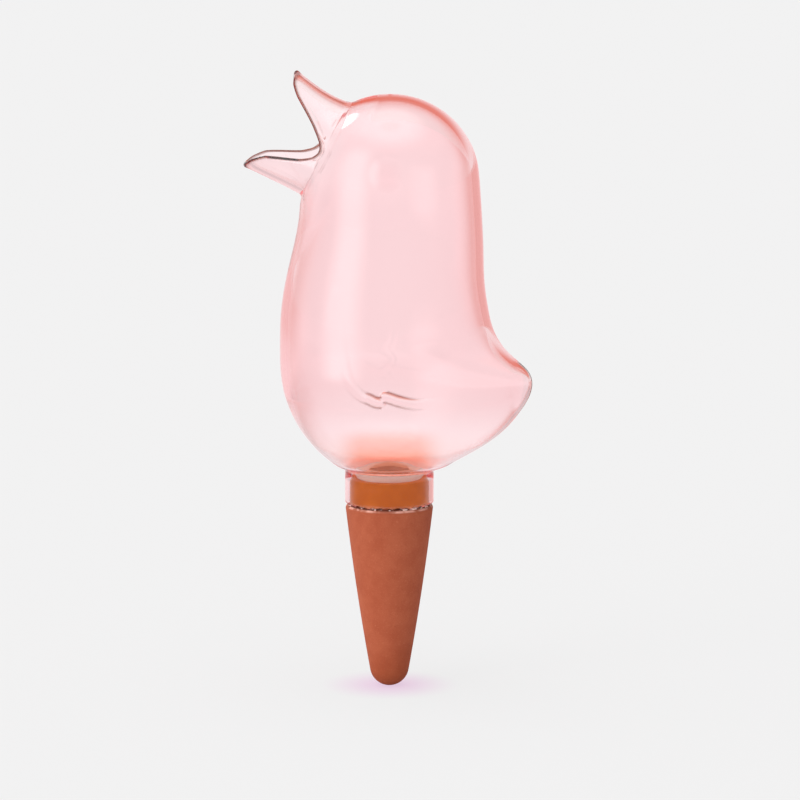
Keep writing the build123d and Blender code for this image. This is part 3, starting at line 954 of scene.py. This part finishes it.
def floor_material():
    """Pale paper with a faint shadow; glass also meets the window, the room and the dim floor."""
    material, tree, output = new_material("pale_floor")
    paper = tree.nodes.new("ShaderNodeBsdfDiffuse")
    paper.inputs["Color"].default_value = FLOOR_DIFFUSE
    glow = tree.nodes.new("ShaderNodeEmission")
    place = tree.nodes.new("ShaderNodeNewGeometry").outputs["Position"]
    path = tree.nodes.new("ShaderNodeLightPath")
    x, y, _z = add_parts(tree, place)
    distance, _height = add_radius_and_height(tree, place)
    turn = add_math(tree, "ARCTAN2", x, y)
    right = add_product(tree, add_step(tree, turn, *ROOM_START_TURN), add_step(tree, turn, *ROOM_END_TURN))
    left = add_product(tree, add_step(tree, turn, *LEFT_START_TURN), add_step(tree, turn, *LEFT_END_TURN),
                       add_step(tree, distance, *LEFT_DISTANCE))
    sides = add_math(tree, "ADD", right, left)
    room = add_product(tree, sides, add_step(tree, distance, *ROOM_DISTANCE))
    dim = add_product(
        tree,
        add_step(tree, y, *DIM_DEPTH),
        add_step(tree, distance, *DIM_FAR_DISTANCE),
        add_step(tree, distance, *DIM_NEAR_DISTANCE),
        add_step(tree, path.outputs["Diffuse Depth"], 0.0, 1.0, 1.0, 0.0),
    )
    window = add_product(tree, add_window(tree, x, y), add_step(tree, distance, *WINDOW_DISTANCE),
                         add_mirrored(tree, path, INNER_WINDOW_SHARE))
    colour = add_mix(tree, room, SEEN_FLOOR, FLOOR_ROOM)
    colour = add_mix(tree, dim, colour, NEAR_FLOOR)
    colour = add_mix(tree, window, colour, FLOOR_WINDOW)
    shade = add_mix(tree, add_step(tree, distance, *SHADE_DISTANCE), FLOOR_PAPER, FLOOR_SHADE)
    glossy, transmitted = path.outputs["Is Glossy Ray"], path.outputs["Is Transmission Ray"]
    through = add_math(tree, "ADD", glossy, transmitted, clamp=True)
    tree.links.new(add_mix(tree, through, shade, colour), glow.inputs["Color"])
    seen = add_math(tree, "ADD", path.outputs["Is Camera Ray"], through, clamp=True)
    mix = tree.nodes.new("ShaderNodeMixShader")
    tree.links.new(add_product(tree, seen, FLOOR_GLOW_SHARE), mix.inputs["Fac"])
    tree.links.new(paper.outputs[0], mix.inputs[1])
    tree.links.new(glow.outputs[0], mix.inputs[2])
    tree.links.new(mix.outputs[0], output.inputs["Surface"])
    return material


def add_floor():
    """Wide floor under the tip of the stake."""
    mesh = bpy.data.meshes.new("floor")
    corners = [(x * FLOOR_REACH, y * FLOOR_REACH, 0) for x, y in ((-1, -1), (1, -1), (1, 1), (-1, 1))]
    mesh.from_pydata(corners, [], [(0, 1, 2, 3)])
    floor = bpy.data.objects.new("floor", mesh)
    bpy.context.scene.collection.objects.link(floor)
    floor.data.materials.append(floor_material())


def add_world():
    """Pale studio with the window, a lit ceiling, a dimmer right side and the warm room behind."""
    world = bpy.data.worlds.new("studio")
    bpy.context.scene.world = world
    world.use_nodes = True
    tree = world.node_tree
    background = tree.nodes["Background"]
    direction = tree.nodes.new("ShaderNodeTexCoord").outputs["Generated"]
    path = tree.nodes.new("ShaderNodeLightPath")
    x, y, z = add_parts(tree, direction)
    window = add_product(tree, add_window(tree, x, y), add_step(tree, z, *WINDOW_RISE),
                         add_mirrored(tree, path, INNER_WINDOW_SHARE), WINDOW_LEVEL)
    sides = add_math(tree, "POWER", add_step(tree, x, *SIDE_LEVELS), path.outputs["Is Diffuse Ray"])
    walls = add_product(tree, add_step(tree, z, *HORIZON_RISE, HORIZON_LEVEL, FRONT_LEVEL), sides)
    ceiling = add_step(tree, z, *CEILING_RISE, 0.0, CEILING_LEVEL)
    towards = tree.nodes.new("ShaderNodeVectorMath")
    towards.operation = "DOT_PRODUCT"
    tree.links.new(direction, towards.inputs[0])
    towards.inputs[1].default_value = LAMP_DIRECTION
    lamp = add_product(tree, add_step(tree, towards.outputs["Value"], *LAMP_SPREAD, 0.0, LAMP_LEVEL),
                       path.outputs["Is Glossy Ray"], add_mirrored(tree, path, 0.0))
    level = walls
    for part in (window, ceiling, lamp):
        level = add_math(tree, "ADD", level, part)
    unseen = add_math(tree, "SUBTRACT", 1.0, path.outputs["Is Camera Ray"])
    room = add_product(
        tree,
        add_step(tree, y, *BACK_DEPTH),
        add_step(tree, x, *BACK_LEFT),
        add_step(tree, z, *BACK_TOP),
        add_step(tree, z, *BACK_BOTTOM),
        add_step(tree, x, *BACK_RIGHT_LEVELS),
        unseen,
    )
    tree.links.new(add_mix(tree, room, PLAIN_LIGHT, BACKDROP_ROOM), background.inputs["Color"])
    seen_level = add_product(tree, path.outputs["Is Camera Ray"], PAPER)
    strength = add_math(tree, "ADD", add_product(tree, level, unseen), seen_level)
    tree.links.new(strength, background.inputs["Strength"])


def add_camera():
    """Camera at the photograph's angle."""
    camera = bpy.data.cameras.new("camera")
    camera.lens = CAMERA_LENS
    camera.sensor_width = CAMERA_SENSOR
    eye = bpy.data.objects.new("camera", camera)
    bpy.context.scene.collection.objects.link(eye)
    eye.location = CAMERA_PLACE
    eye.rotation_euler = (CAMERA_TILT, 0, 0)
    bpy.context.scene.camera = eye


def dress(node, material):
    """Gives a CAD piece its material."""
    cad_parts[node].data.materials.clear()
    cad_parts[node].data.materials.append(material)
    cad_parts[node].data.shade_smooth()


globe = glass_globe()
globe.data.materials.append(glass_material())
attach(globe, "globe")
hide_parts("bulb", "beak", "neck", "left_eye", "right_eye", "left_wing", "right_wing")

dress("clay_stake", clay_material())
dress("seal_sleeve", rubber_material())

add_floor()
add_world()
add_camera()

bpy.context.scene.view_settings.view_transform = "Standard"
bpy.context.scene.cycles.max_bounces = BOUNCE_COUNT
bpy.context.scene.cycles.transmission_bounces = BOUNCE_COUNT
bpy.context.scene.cycles.glossy_bounces = BOUNCE_COUNT
